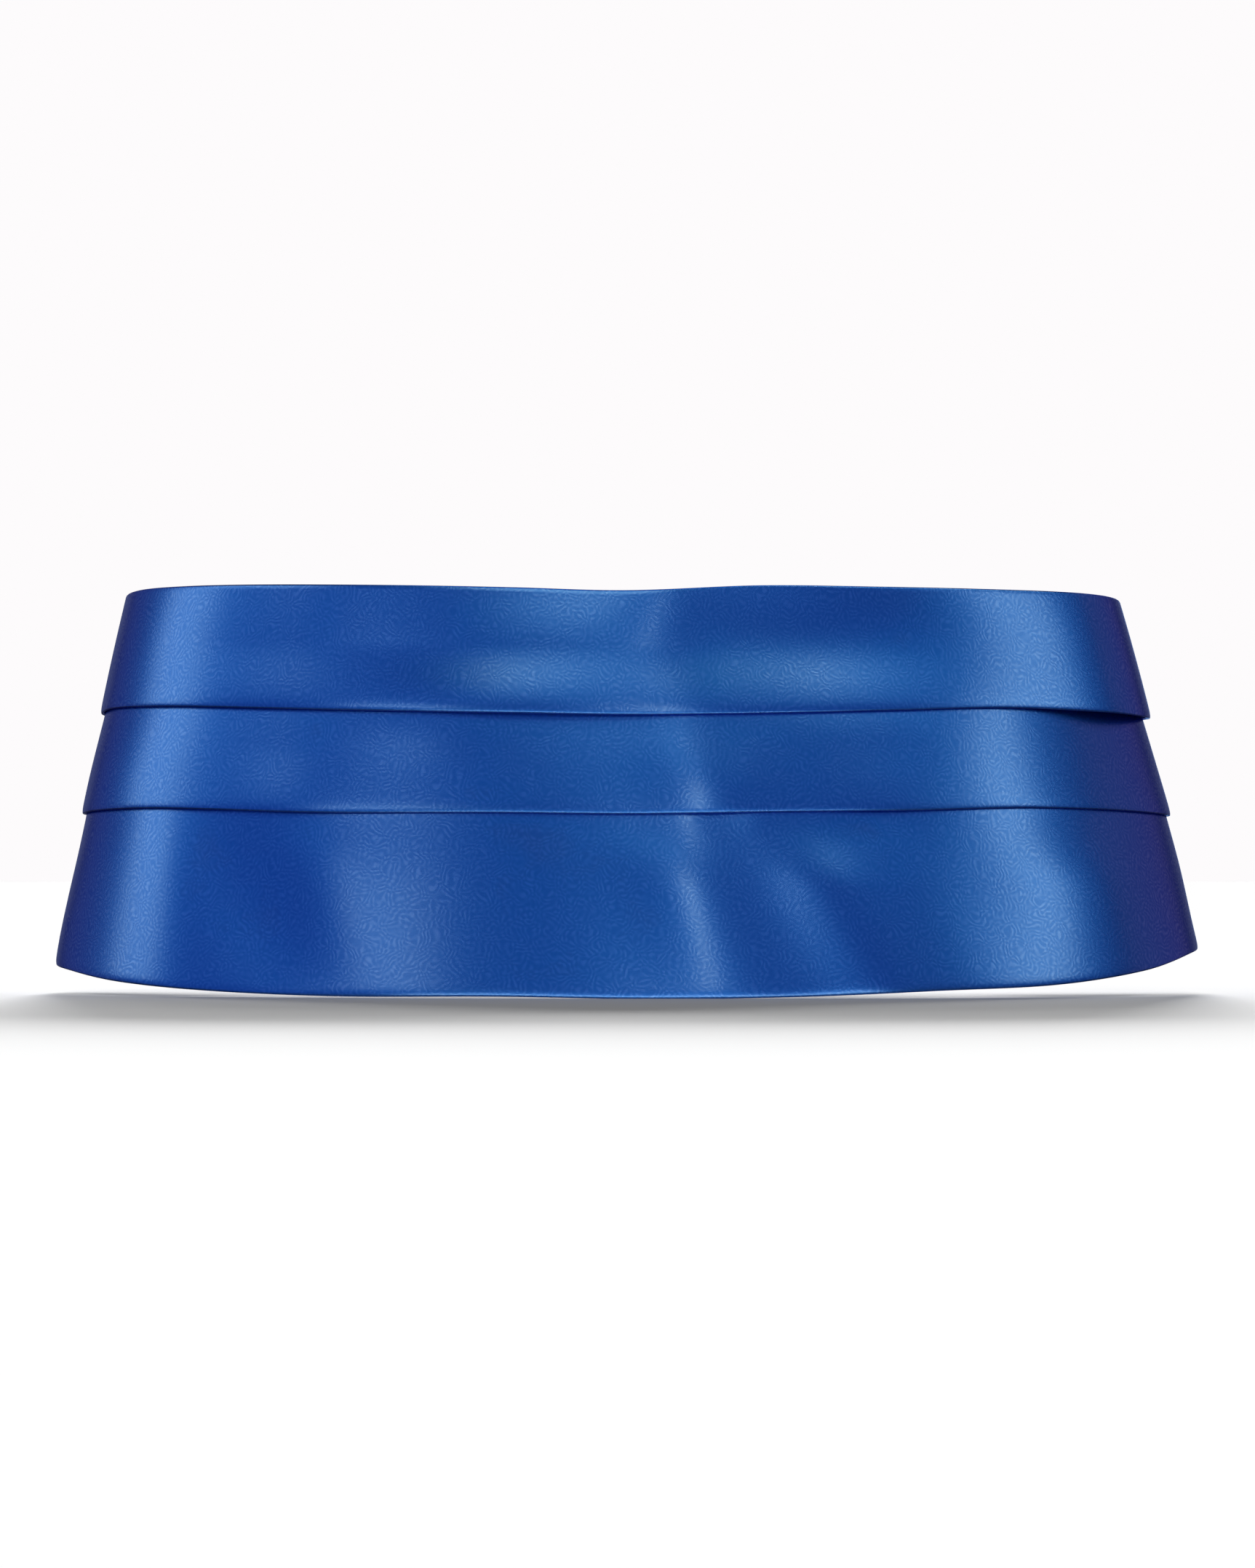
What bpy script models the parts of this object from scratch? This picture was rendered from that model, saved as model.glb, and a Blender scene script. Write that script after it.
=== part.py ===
"""Cummerbund, filled out as it is worn.

A satin panel goes round the front and the sides in three overlapping tiers, each tucked up behind
the one above it. Folded tabs close its tapered ends, and an elastic strap with a slide and a flat
hook joins them across the back.

Metres, +Z up. The front faces -Y, and left and right are as seen from the front. The origin is on
the waist's axis, level with the middle of the strap. A turn is an angle round that axis in
degrees: 0 at the centre front, 90 at the right side, 180 at the centre back.
"""

import math

import bpy
import numpy as np
from mathutils import Matrix, Vector

MM = 0.001

# The figure that fills it: an ellipse at every height, wider towards the hips.
HALF_WIDTH = 0.1712      # at the strap's level
FLARE = 0.218            # half width gained for each metre down
BARREL = 0.34            # half width lost with the square of the height
DEPTH_SHARE = 0.69       # depth over width
LEAN = 0.029             # sideways shift of the axis for each metre down
LEAN_LEVEL = -0.038      # height where the axis is on the centre line

# The cloth.
WALL = 1.0 * MM
GAP = 0.3 * MM           # between pieces that touch
STEP = WALL + GAP        # one tier lies this far inside the next one up
TUCK = 18 * MM           # how far a tier reaches up behind the one above
SETTLE = 9 * MM          # height in which a tier finds its own folds below the one above
END_TURN = 135.0         # where the panel's tapered ends lie
END_FADE = 16.0          # the folds die out over this turn before the ends
COLUMNS = 80             # faces round the panel

# Heights of the panel's edges in millimetres, a row for each turn in degrees.
EDGE_COLUMNS = ("turn", "top", "upper_fold", "middle_fold", "hem")
EDGES = np.array((
    (-135, 30.0, 17.5, -12.0, -25.0),
    (-120, 43.5, 18.0, -12.5, -43.0),
    (-105, 52.5, 18.5, -13.0, -55.0),
    (-90, 56.0, 19.1, -12.9, -60.2),
    (-75, 57.4, 20.4, -12.0, -62.5),
    (-60, 57.7, 20.3, -11.5, -65.7),
    (-30, 56.6, 18.2, -13.3, -69.3),
    (-12, 55.4, 17.1, -13.4, -69.2),
    (0, 54.4, 16.5, -13.8, -69.8),
    (16, 56.1, 17.1, -13.1, -69.3),
    (30, 56.1, 18.2, -12.6, -67.7),
    (45, 56.0, 19.3, -11.6, -66.2),
    (60, 55.7, 18.6, -12.0, -62.3),
    (75, 54.6, 17.4, -12.9, -57.4),
    (90, 52.9, 17.4, -13.6, -55.0),
    (105, 49.5, 17.2, -13.2, -49.5),
    (120, 41.5, 17.2, -12.6, -39.0),
    (135, 30.0, 17.5, -12.0, -25.0),
))

# The largest folds. Turn and breadth are in degrees, height, length and rise in millimetres, and
# lean is in degrees for each 10 mm up. A rise below zero is a trough.
FOLD_COLUMNS = ("tier", "turn", "height", "breadth", "length", "lean", "rise")
FOLDS = (
    ("upper", -44, 38, 9, 26, 0.0, 1.2),
    ("upper", -16, 38, 5, 18, 3.0, -1.8),
    ("upper", -4, 36, 6, 24, 1.0, 1.6),
    ("upper", 9, 52, 5, 9, -1.5, -2.0),
    ("upper", 30, 50, 12, 8, 0.0, -1.2),
    ("upper", 46, 36, 8, 24, 0.0, 1.4),
    ("middle", -52, 2, 8, 26, 0.5, 1.4),
    ("middle", -15, 6, 5, 15, 3.5, -2.2),
    ("middle", -6, 2, 4, 20, 2.0, 1.2),
    ("middle", 4, 2, 4, 22, -0.5, 1.5),
    ("middle", 20, 2, 9, 22, 0.0, -1.4),
    ("middle", 38, 4, 7, 24, 0.0, 2.0),
    ("lower", -55, -40, 8, 32, 0.0, 1.8),
    ("lower", -38, -42, 6, 30, -2.2, -3.0),
    ("lower", -27, -42, 6, 30, -2.0, 2.0),
    ("lower", -8, -26, 7, 15, 0.0, -1.4),
    ("lower", 5, -46, 3.5, 28, -1.3, 1.8),
    ("lower", 13, -54, 4, 18, -1.0, -1.8),
    ("lower", 28, -34, 6, 24, 0.0, -2.0),
    ("lower", 43, -38, 7, 34, 0.5, 2.4),
    ("lower", 62, -30, 6, 26, 0.0, -1.2),
)

# Places where a tier's folded lower edge stands off the tier below it.
LIFT_COLUMNS = ("tier", "turn", "breadth", "rise")
LIFTS = (
    ("upper", 0, 9, 0.9),
    ("upper", 66, 8, 0.6),
    ("middle", -35, 4, 0.8),
    ("middle", 3, 7, 1.0),
    ("middle", 27, 4, 0.6),
    ("middle", 72, 8, 0.5),
)
LIFT_HEIGHT = 7 * MM     # how far up from the edge a lift reaches

# Tabs at the ends of the panel.
TAB_LENGTH = 15 * MM
TAB_OVERHANG = 0.5 * MM  # beyond the panel's top edge and hem
END_CLEAR = 1.0 * MM     # from the tiers' ends to the tab's fold
STACK = 2 * STEP + WALL  # thickest stack of tiers

# Straps, and the flat slide and hook that they run through.
STRAP_WIDTH = 25 * MM
STRAP_WALL = 1.0 * MM
STRAP_LAP = 12 * MM      # sewn onto the inside of a tab
STRAP_INSET = STACK + GAP + WALL + GAP + STRAP_WALL / 2
METAL = 1.5 * MM
BAR = 2.5 * MM
SLOT = 4.0 * MM
FRAME_HEIGHT = 31 * MM
SLOT_HEIGHT = 26 * MM
CORNER = 2 * MM
HOOK_PLATE = 5 * MM
SLIDE_DISTANCE = -58 * MM
LOOP = METAL / 2 + GAP + STRAP_WALL / 2   # middle of the strap to the middle of a bar
LAYER = STRAP_WALL + GAP                  # between two runs of strap
SEWN_BACK = 16 * MM

SATIN_BLUE = (0.012, 0.065, 0.33, 1.0)
ELASTIC_BLUE = (0.008, 0.035, 0.17, 1.0)
NICKEL = (0.62, 0.61, 0.58, 1.0)


def edge(name, turn):
    """Height of a named edge at each turn: a cubic through the table's rows, with the slope at a
    row taken from the rows beside it."""
    rows, heights = EDGES[:, 0], EDGES[:, EDGE_COLUMNS.index(name)] * MM
    slopes = np.gradient(heights, rows)
    low = np.clip(np.searchsorted(rows, turn, side="right") - 1, 0, len(rows) - 2)
    span = rows[low + 1] - rows[low]
    s = (turn - rows[low]) / span
    return ((1 + 2 * s) * (1 - s) ** 2 * heights[low]
            + s * (1 - s) ** 2 * span * slopes[low]
            + s * s * (3 - 2 * s) * heights[low + 1]
            - s * s * (1 - s) * span * slopes[low + 1])


def ease(share):
    """A smooth step from 0 to 1."""
    share = np.clip(share, 0, 1)
    return share * share * (3 - 2 * share)


def figure(turn, height, out=0.0):
    """Points on the figure's ellipse at each turn and height, moved out along its level normal."""
    angle = np.radians(turn)
    half_width = HALF_WIDTH - FLARE * height - BARREL * height ** 2
    half_depth = DEPTH_SHARE * half_width
    across, along = np.sin(angle) / half_width, -np.cos(angle) / half_depth
    size = np.hypot(across, along)
    x = half_width * np.sin(angle) + out * across / size - LEAN * (height - LEAN_LEVEL)
    y = -half_depth * np.cos(angle) + out * along / size
    return np.stack(np.broadcast_arrays(x, y, height), axis=-1)


TIERS = ("upper", "middle", "lower")
FOLD_ABOVE = {"middle": "upper_fold", "lower": "middle_fold"}
LOWER_EDGE = {"upper": "upper_fold", "middle": "middle_fold", "lower": "hem"}


def folds(tier, turn, height):
    """Sum of a tier's folds, each a soft ridge or trough that fades at both ends."""
    total = np.zeros(np.broadcast(turn, height).shape)
    for row_tier, place, level, breadth, length, lean, rise in FOLDS:
        if row_tier == tier:
            up = height / MM - level
            aside = (turn - place - lean * up / 10) / breadth
            total += rise * MM * np.exp(-(aside ** 2 + (up / length) ** 2) / 2)
    return total * ease((END_TURN - np.abs(turn)) / END_FADE)


def lift(tier, turn, height):
    """How far a tier's lower edge stands off the tier below."""
    near = ease(1 - (height - edge(LOWER_EDGE[tier], turn)) / LIFT_HEIGHT)
    total = np.zeros(near.shape)
    for row_tier, place, breadth, rise in LIFTS:
        if row_tier == tier:
            total += rise * MM * np.exp(-((turn - place) / breadth) ** 2 / 2) * near
    return total


def rest(tier, turn, height):
    """Where a tier's outer face lies from the figure, before its edge lifts. Behind the fold above
    it keeps one step inside that tier. Below the fold it takes its own folds and comes out again."""
    if tier == "upper":
        return folds(tier, turn, height)
    fold = edge(FOLD_ABOVE[tier], turn)
    lower = edge(LOWER_EDGE[tier], turn)
    own = ease((fold - height) / SETTLE)
    inside = 1 - np.clip((fold - height) / (fold - lower), 0, 1)
    above = rest(TIERS[TIERS.index(tier) - 1], turn, height)
    return (1 - own) * above + own * folds(tier, turn, height) - STEP * inside


def tier_points(tier):
    """Grid of a tier's outer face, from its top row down to its lower edge."""
    turn = np.linspace(-END_TURN, END_TURN, COLUMNS + 1)
    lower = edge(LOWER_EDGE[tier], turn)
    if tier == "upper":
        top = edge("top", turn)
        heights = [top + (lower - top) * share for share in (0, 0.12, 0.3, 0.55, 0.8, 1)]
    else:
        fold = edge(FOLD_ABOVE[tier], turn)
        tuck = np.minimum(fold + TUCK, edge("top", turn) - END_CLEAR) - fold
        heights = [fold + tuck * share for share in (1, 0.5)]
        heights += [fold + (lower - fold) * share for share in (0, 0.12, 0.28, 0.5, 0.75, 1)]
    height = np.array(heights)
    turn = np.broadcast_to(turn, height.shape)
    return figure(turn, height, rest(tier, turn, height) + lift(tier, turn, height))


def wall_object(name, points, material, collection, thickness, side):
    """A closed wall from a grid of points: the open surface, then Solidify. Side -1 puts the
    thickness behind the face, and 0 puts half on each side."""
    rows, columns = points.shape[:2]
    index = np.arange(rows * columns).reshape(rows, columns)
    faces = np.stack((index[:-1, :-1], index[1:, :-1], index[1:, 1:], index[:-1, 1:]), axis=-1)
    mesh = bpy.data.meshes.new(name)
    mesh.from_pydata(points.reshape(-1, 3).tolist(), [], faces.reshape(-1, 4).tolist())
    mesh.shade_smooth()
    mesh.materials.append(material)
    wall = bpy.data.objects.new(name, mesh)
    collection.objects.link(wall)
    solidify = wall.modifiers.new("cloth", "SOLIDIFY")
    solidify.thickness = thickness
    solidify.offset = side
    solidify.use_even_offset = True
    return wall


def tab_points(side):
    """Grid of a tab's middle surface: out over the tiers' ends, round its fold and back inside."""
    metres_per_degree = np.linalg.norm(figure(END_TURN + 1, 0.0) - figure(END_TURN, 0.0))
    outer, inner = GAP + WALL / 2, -STACK - GAP - WALL / 2
    bend = (outer - inner) / 2
    angles = np.radians(np.linspace(90, -90, 7))
    along = np.concatenate(([-TAB_LENGTH, -TAB_LENGTH / 2], bend * np.cos(angles),
                            [-TAB_LENGTH / 2, -TAB_LENGTH]))
    out = np.concatenate(([outer, outer], inner + bend + bend * np.sin(angles), [inner, inner]))
    turn = END_TURN + (along + END_CLEAR) / metres_per_degree
    signed = side * np.minimum(turn, END_TURN)
    top = edge("top", signed) + TAB_OVERHANG
    hem = edge("hem", signed) - TAB_OVERHANG
    height = np.array([top + (hem - top) * share for share in np.linspace(0, 1, 5)])
    points = figure(np.broadcast_to(side * turn, height.shape), height, out)
    return points if side > 0 else points[:, ::-1]


class Band:
    """The strap's line round the back, by distance from the centre back towards the left."""

    turns = np.linspace(110, 250, 1401)
    line = figure(turns, np.zeros(turns.shape), -STRAP_INSET)
    lengths = np.concatenate(([0], np.cumsum(np.linalg.norm(np.diff(line, axis=0), axis=1))))
    distances = lengths - np.interp(180, turns, lengths)

    @classmethod
    def turn(cls, distance):
        return np.interp(distance, cls.distances, cls.turns)

    @classmethod
    def axes(cls, distance):
        """Points on the line, with the directions along it, up it and out of it."""
        turn = cls.turn(distance)
        level = np.zeros(np.shape(turn))
        point = figure(turn, level, -STRAP_INSET)
        along = figure(turn + 0.1, level) - figure(turn - 0.1, level)
        up = figure(turn, level + MM) - figure(turn, level - MM)
        along = along / np.linalg.norm(along, axis=-1, keepdims=True)
        out = np.cross(along, up)
        out = out / np.linalg.norm(out, axis=-1, keepdims=True)
        return point, along, np.cross(out, along), out

    @classmethod
    def ribbon(cls, path):
        """Two edges of a strap whose middle follows a path of (distance, out) rows."""
        path = np.array(path)
        point, _, up, out = cls.axes(path[:, 0])
        middle = point + out * path[:, 1:]
        return np.stack((middle + up * STRAP_WIDTH / 2, middle - up * STRAP_WIDTH / 2))

    @classmethod
    def frame(cls, distance, out):
        """Matrix that places a flat fitting on the strap: x along it, y up, z outwards."""
        point, along, up, normal = (Vector(part) for part in cls.axes(distance))
        matrix = Matrix((along, up, normal)).transposed().to_4x4()
        matrix.translation = point + normal * out
        return matrix


HOOK_OUT = -LAYER / 2                     # the hook lies between the two runs
SLIDE_OUT = STRAP_WALL / 2 + GAP + METAL / 2
HOOK_BAR = HOOK_PLATE / 2 + SLOT + BAR / 2


def loop_path(bar, way):
    """A strap's turn round a bar of the hook, coming from the way's negative side: over the bar,
    round its far edge and back underneath."""
    angles = np.radians(np.linspace(90, -90, 9))
    path = [(bar - way * 9 * MM, 0.0), (bar - way * 3 * MM, HOOK_OUT + LOOP)]
    path += [(bar + way * (BAR / 2 + LOOP * math.cos(a)), HOOK_OUT + LOOP * math.sin(a)) for a in angles]
    path += [(bar - way * 3 * MM, HOOK_OUT - LOOP), (bar - way * 9 * MM, -LAYER)]
    return path


def slide_arch():
    """The strap's outer run through the slide: under a side bar, over the middle one, and under
    the other side bar."""
    top = SLIDE_OUT + LOOP + LAYER
    offsets = np.linspace(-SLOT - BAR / 2, SLOT + BAR / 2, 13)
    share = ease(1 - (np.abs(offsets) - BAR / 2) / (SLOT - GAP))
    return [(SLIDE_DISTANCE + offset, top * part) for offset, part in zip(offsets, share)]


def slide_loop():
    """The strap's end, from under the slide's side bar round its middle bar to the outside."""
    angles = np.radians(np.linspace(-90, -270, 9))
    path = [(SLIDE_DISTANCE + SLOT + BAR, -LAYER), (SLIDE_DISTANCE + SLOT, -LAYER)]
    path += [(SLIDE_DISTANCE - BAR / 4 + LOOP * math.cos(a), SLIDE_OUT + LOOP * math.sin(a)) for a in angles]
    return path + [(SLIDE_DISTANCE + BAR / 2, SLIDE_OUT + LOOP)]


def strap_path(side):
    """Path of a whole strap, from its lap on the tab at one side to its end."""
    tab = END_TURN if side > 0 else 360 - END_TURN
    start = np.interp(tab, Band.turns, Band.distances) - side * STRAP_LAP
    if side < 0:
        run = np.linspace(start, HOOK_BAR + 14 * MM, 14)
        return [(d, 0.0) for d in run] + loop_path(HOOK_BAR, -1) + [(HOOK_BAR + SEWN_BACK, -LAYER)]
    before = np.linspace(start, SLIDE_DISTANCE - SLOT - 3 * BAR, 9)
    between = np.linspace(SLIDE_DISTANCE + SLOT + 3 * BAR, -HOOK_BAR - 14 * MM, 4)
    return ([(d, 0.0) for d in before] + slide_arch() + [(d, 0.0) for d in between]
            + loop_path(-HOOK_BAR, 1) + [(d, -LAYER) for d in between[::-1]] + slide_loop())


def rounded(width, height, corner, centre=0.0):
    """Corner points of a rectangle whose corners are quarter circles, anticlockwise."""
    points = []
    for quarter, (sx, sy) in enumerate(((1, 1), (-1, 1), (-1, -1), (1, -1))):
        for angle in np.radians(np.linspace(0, 90, 4) + 90 * quarter):
            points.append((centre + sx * (width / 2 - corner) + corner * math.cos(angle),
                           sy * (height / 2 - corner) + corner * math.sin(angle)))
    return points


def fitting(name, outlines, distance, out, material, collection):
    """A flat metal fitting cut from outlines, the first of them the outer edge."""
    curve = bpy.data.curves.new(name, "CURVE")
    curve.dimensions = "2D"
    curve.fill_mode = "BOTH"
    curve.extrude = METAL / 2
    for outline in outlines:
        spline = curve.splines.new("POLY")
        spline.points.add(len(outline) - 1)
        for point, (x, y) in zip(spline.points, outline):
            point.co = (x, y, 0, 1)
        spline.use_cyclic_u = True
    curve.materials.append(material)
    plate = bpy.data.objects.new(name, curve)
    plate.matrix_world = Band.frame(distance, out)
    collection.objects.link(plate)
    return plate


def slide_outlines():
    """The slide: a frame with a middle bar, so two slots."""
    width = 2 * SLOT + 3 * BAR
    slots = [rounded(SLOT, SLOT_HEIGHT, CORNER / 4, way * (SLOT + BAR) / 2) for way in (-1, 1)]
    return [rounded(width, FRAME_HEIGHT, CORNER)] + slots


def hook_outlines():
    """The hook: a closed slot for the right strap, and one open at the bottom whose free bar
    takes the left strap's loop."""
    half = HOOK_BAR + BAR / 2
    low = -FRAME_HEIGHT / 2
    outer = rounded(2 * half, FRAME_HEIGHT, CORNER)
    mouth = [(HOOK_PLATE / 2, low), (HOOK_PLATE / 2, SLOT_HEIGHT / 2),
             (HOOK_PLATE / 2 + SLOT, SLOT_HEIGHT / 2), (HOOK_PLATE / 2 + SLOT, low)]
    last_left = 12                        # the outline's first point on its lower right corner
    return [outer[:last_left] + mouth + outer[last_left:],
            rounded(SLOT, SLOT_HEIGHT, CORNER / 4, -(HOOK_PLATE + SLOT) / 2)]


def make_material(name, colour, roughness, metallic):
    material = bpy.data.materials.new(name)
    material.use_nodes = True
    shader = material.node_tree.nodes["Principled BSDF"]
    shader.inputs["Base Color"].default_value = colour
    shader.inputs["Roughness"].default_value = roughness
    shader.inputs["Metallic"].default_value = metallic
    return material


def build():
    for item in list(bpy.data.objects):
        bpy.data.objects.remove(item)
    collection = bpy.data.collections.new("cummerbund")
    bpy.context.scene.collection.children.link(collection)
    satin = make_material("satin", SATIN_BLUE, 0.35, 0.0)
    elastic = make_material("elastic", ELASTIC_BLUE, 0.8, 0.0)
    nickel = make_material("nickel", NICKEL, 0.25, 1.0)

    for tier in TIERS:
        wall_object("pleat_" + tier, tier_points(tier), satin, collection, WALL, -1)
    for label, side in (("left", -1), ("right", 1)):
        wall_object("end_tab_" + label, tab_points(side), satin, collection, WALL, 0)
        ribbon = Band.ribbon(strap_path(side))
        wall_object("strap_" + label, ribbon, elastic, collection, STRAP_WALL, 0)
    fitting("strap_slide", slide_outlines(), SLIDE_DISTANCE, SLIDE_OUT, nickel, collection)
    fitting("strap_hook", hook_outlines(), 0.0, HOOK_OUT, nickel, collection)


build()
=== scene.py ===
"""Looks of a satin cummerbund, filled out as it is worn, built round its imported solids.

Metres, +Z up, front towards -Y, left and right as seen from the front. A turn is an angle round
the waist in degrees, 0 at the centre front and 90 at the right side. Cloth is worked out as grids:
one way goes round the waist, the other goes down the cloth.
"""

import math

import bpy
import numpy as np
from mathutils import Matrix, Vector


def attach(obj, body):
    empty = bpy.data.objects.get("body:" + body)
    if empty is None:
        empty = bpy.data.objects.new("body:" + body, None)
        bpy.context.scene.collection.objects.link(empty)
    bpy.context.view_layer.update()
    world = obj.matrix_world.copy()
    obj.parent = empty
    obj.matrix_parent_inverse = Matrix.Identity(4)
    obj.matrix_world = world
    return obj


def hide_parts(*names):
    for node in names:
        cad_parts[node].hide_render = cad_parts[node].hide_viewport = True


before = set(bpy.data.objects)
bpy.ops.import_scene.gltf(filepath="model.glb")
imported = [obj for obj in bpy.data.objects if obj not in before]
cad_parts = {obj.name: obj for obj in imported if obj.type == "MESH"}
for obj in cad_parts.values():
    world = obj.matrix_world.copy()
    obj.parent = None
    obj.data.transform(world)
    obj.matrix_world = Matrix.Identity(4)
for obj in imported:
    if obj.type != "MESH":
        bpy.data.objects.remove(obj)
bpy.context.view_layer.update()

# ---------------------------------------------------------------------------------------------
# Upper tier: the top of the pleated front, which is one length of polyester satin. It is turned in
# along the top edge and folded under along the first pleat, so both edges are soft rolls.
# ---------------------------------------------------------------------------------------------

MM = 0.001

# The figure inside it is an ellipse at every height, wider towards the hips.
HALF_WIDTH = 0.1712      # at the strap's level
FLARE = 0.218            # half width gained for each metre down
BARREL = 0.34            # half width lost with the square of the height
DEPTH_SHARE = 0.69       # depth over width
LEAN = 0.029             # sideways shift of the axis for each metre down
LEAN_LEVEL = -0.038      # height where the axis is on the centre line

END_TURN = 135.0         # the panel's tapered ends
END_FADE = 16.0          # folds die out over this turn before the ends
SETTLE = 24 * MM         # height in which a tier finds its own folds below the one above
WALL = 1.0 * MM          # a tier's two layers together
STEP = WALL + 0.3 * MM   # one tier lies this far inside the next one up
SATIN = 0.4 * MM         # one layer of satin with its backing
ROLL = (WALL - SATIN) / 2
TUCK = 18 * MM           # how far a tier reaches up behind the one above
FACING = 12 * MM         # turned in at the top edge and at the hem
COLUMNS = 420            # faces round the panel

# Heights of the panel's edges in millimetres, a row for each turn.
EDGE_COLUMNS = ("turn", "top", "upper_fold", "middle_fold", "hem")
EDGES = np.array((
    (-135, 30.0, 17.5, -12.0, -25.0),
    (-120, 43.5, 18.0, -12.5, -43.0),
    (-105, 52.5, 18.5, -13.0, -55.0),
    (-90, 56.0, 19.1, -12.9, -60.2),
    (-75, 57.4, 20.4, -12.0, -62.5),
    (-60, 57.7, 20.3, -11.5, -65.7),
    (-30, 56.6, 18.2, -13.3, -69.3),
    (-12, 55.4, 17.1, -13.4, -69.2),
    (0, 54.4, 16.5, -13.8, -69.8),
    (16, 56.1, 17.1, -13.1, -69.3),
    (30, 56.1, 18.2, -12.6, -67.7),
    (45, 56.0, 19.3, -11.6, -66.2),
    (60, 55.7, 18.6, -12.0, -62.3),
    (75, 54.6, 17.4, -12.9, -57.4),
    (90, 52.9, 17.4, -13.6, -55.0),
    (105, 49.5, 17.2, -13.2, -49.5),
    (120, 41.5, 17.2, -12.6, -39.0),
    (135, 30.0, 17.5, -12.0, -25.0),
))

# Folds in the cloth, a row for each: turn, height, breadth, length, lean and rise. Turn and breadth
# are in degrees, height, length and rise in millimetres, and lean is in degrees for each 10 mm up.
# A rise below zero is a trough. The side folds bend all three tiers alike.
SIDE_FOLDS = (
    (-98, 10, 8, 40, 0.4, 1.2),
    (-118, -5, 6, 30, 0.0, -0.8),
    (101, 0, 8, 36, -0.4, -1.0),
    (119, 5, 6, 30, 0.0, 0.9),
)
FOLDS = {"upper": (
    (-70, 30, 9, 30, 0.0, 1.2),
    (-3, 66, 11, 15, 1.0, -3.0),
    (4.5, 56, 3.5, 12, 0.6, 0.9),
    (14, 43, 7, 13, 0.0, -1.6),
    (27, 42, 12, 14, 0.0, -2.9),
    (67, 38, 10, 50, 0.0, 6.3),
) + SIDE_FOLDS}

# Places where the folded edge stands off the tier below: turn, breadth and rise as above.
LIFTS = {"upper": ((-50, 11, 0.5), (-15, 13, 1.9), (7, 4, 0.7), (66, 8, 0.4))}
LIFT_HEIGHT = 21 * MM    # a lift eases in over this height

# How deep each tier dips in just below the fold above it, in millimetres: a depth all round, and
# bell curves of turn, breadth and further depth.
GROOVES = {}
GROOVE_BELOW = 0.5 * MM  # from the fold down to the deepest place
GROOVE_HEIGHT = 7.0 * MM

CLOSENESS = 0.5 * MM     # how gently a tier comes to lie against the one above
CURL = 0.25 * MM         # a folded edge turns in by this much
CURL_HEIGHT = 0.9 * MM   # in which the curl falls by exp(-1)

FACE_ROWS = 56           # across a tier's face, closer together towards its lower edge
FACE_POWER = 1.6
FACING_ROWS = 4
RETURN_ROWS = 5
ROLL_ROWS = 7


def curve_through(rows, values, places):
    """A cubic through each pair of rows, with the slope at a row taken from the rows beside it."""
    slopes = np.gradient(values, rows, axis=0)
    low = np.clip(np.searchsorted(rows, places, side="right") - 1, 0, len(rows) - 2)
    span = rows[low + 1] - rows[low]
    s = (places - rows[low]) / span
    weights = ((1 + 2 * s) * (1 - s) ** 2, s * (1 - s) ** 2 * span,
               s * s * (3 - 2 * s), -s * s * (1 - s) * span)
    sources = (values[low], slopes[low], values[low + 1], slopes[low + 1])
    shape = np.shape(places) + (1,) * (values.ndim - 1)
    return sum(w.reshape(shape) * part for w, part in zip(weights, sources))


def edge(name, turn):
    """Height of a named edge at each turn."""
    return curve_through(EDGES[:, 0], EDGES[:, EDGE_COLUMNS.index(name)] * MM, turn)


def ease(share):
    """A smooth step: 3 s squared less 2 s cubed, between 0 and 1."""
    share = np.clip(share, 0, 1)
    return share * share * (3 - 2 * share)


def figure(turn, height, out=0.0):
    """Points on the figure: half width times the sine and half depth times the cosine of the
    turn, moved out along the ellipse's level normal."""
    angle = np.radians(turn)
    half_width = HALF_WIDTH - FLARE * height - BARREL * height ** 2
    half_depth = DEPTH_SHARE * half_width
    across, along = np.sin(angle) / half_width, -np.cos(angle) / half_depth
    size = np.hypot(across, along)
    x = half_width * np.sin(angle) + out * across / size - LEAN * (height - LEAN_LEVEL)
    y = -half_depth * np.cos(angle) + out * along / size
    return np.stack(np.broadcast_arrays(x, y, height), axis=-1)


TIERS = ("upper", "middle", "lower")
FOLD_ABOVE = {"middle": "upper_fold", "lower": "middle_fold"}
LOWER_EDGE = {"upper": "upper_fold", "middle": "middle_fold", "lower": "hem"}


def folds(tier, turn, height):
    """Sum of a tier's folds: each is its rise times the bell curve of the distance across it and
    the bell curve of the distance along it."""
    total = np.zeros(np.broadcast(turn, height).shape)
    for place, level, breadth, length, lean, rise in FOLDS[tier]:
        up = height / MM - level
        aside = (turn - place - lean * up / 10) / breadth
        total += rise * MM * np.exp(-(aside ** 2 + (up / length) ** 2) / 2)
    return total * ease((END_TURN - np.abs(turn)) / END_FADE)


def lift(tier, turn, height):
    """How far a tier's lower edge stands off: bell curves round the waist, eased in over the last
    few millimetres of height."""
    near = ease(1 - (height - edge(LOWER_EDGE[tier], turn)) / LIFT_HEIGHT)
    total = sum(rise * MM * np.exp(-((turn - place) / breadth) ** 2 / 2)
                for place, breadth, rise in LIFTS[tier])
    return total * near


def groove(tier, turn, height):
    """How far a tier dips in under the fold above it: the depth there times a bell curve of the
    height, centred just below the fold."""
    depth, places = GROOVES[tier]
    for place, breadth, further in places:
        depth = depth + further * np.exp(-((turn - place) / breadth) ** 2 / 2)
    down = (edge(FOLD_ABOVE[tier], turn) - GROOVE_BELOW - height) / GROOVE_HEIGHT
    return depth * MM * np.exp(-down ** 2 / 2)


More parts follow.
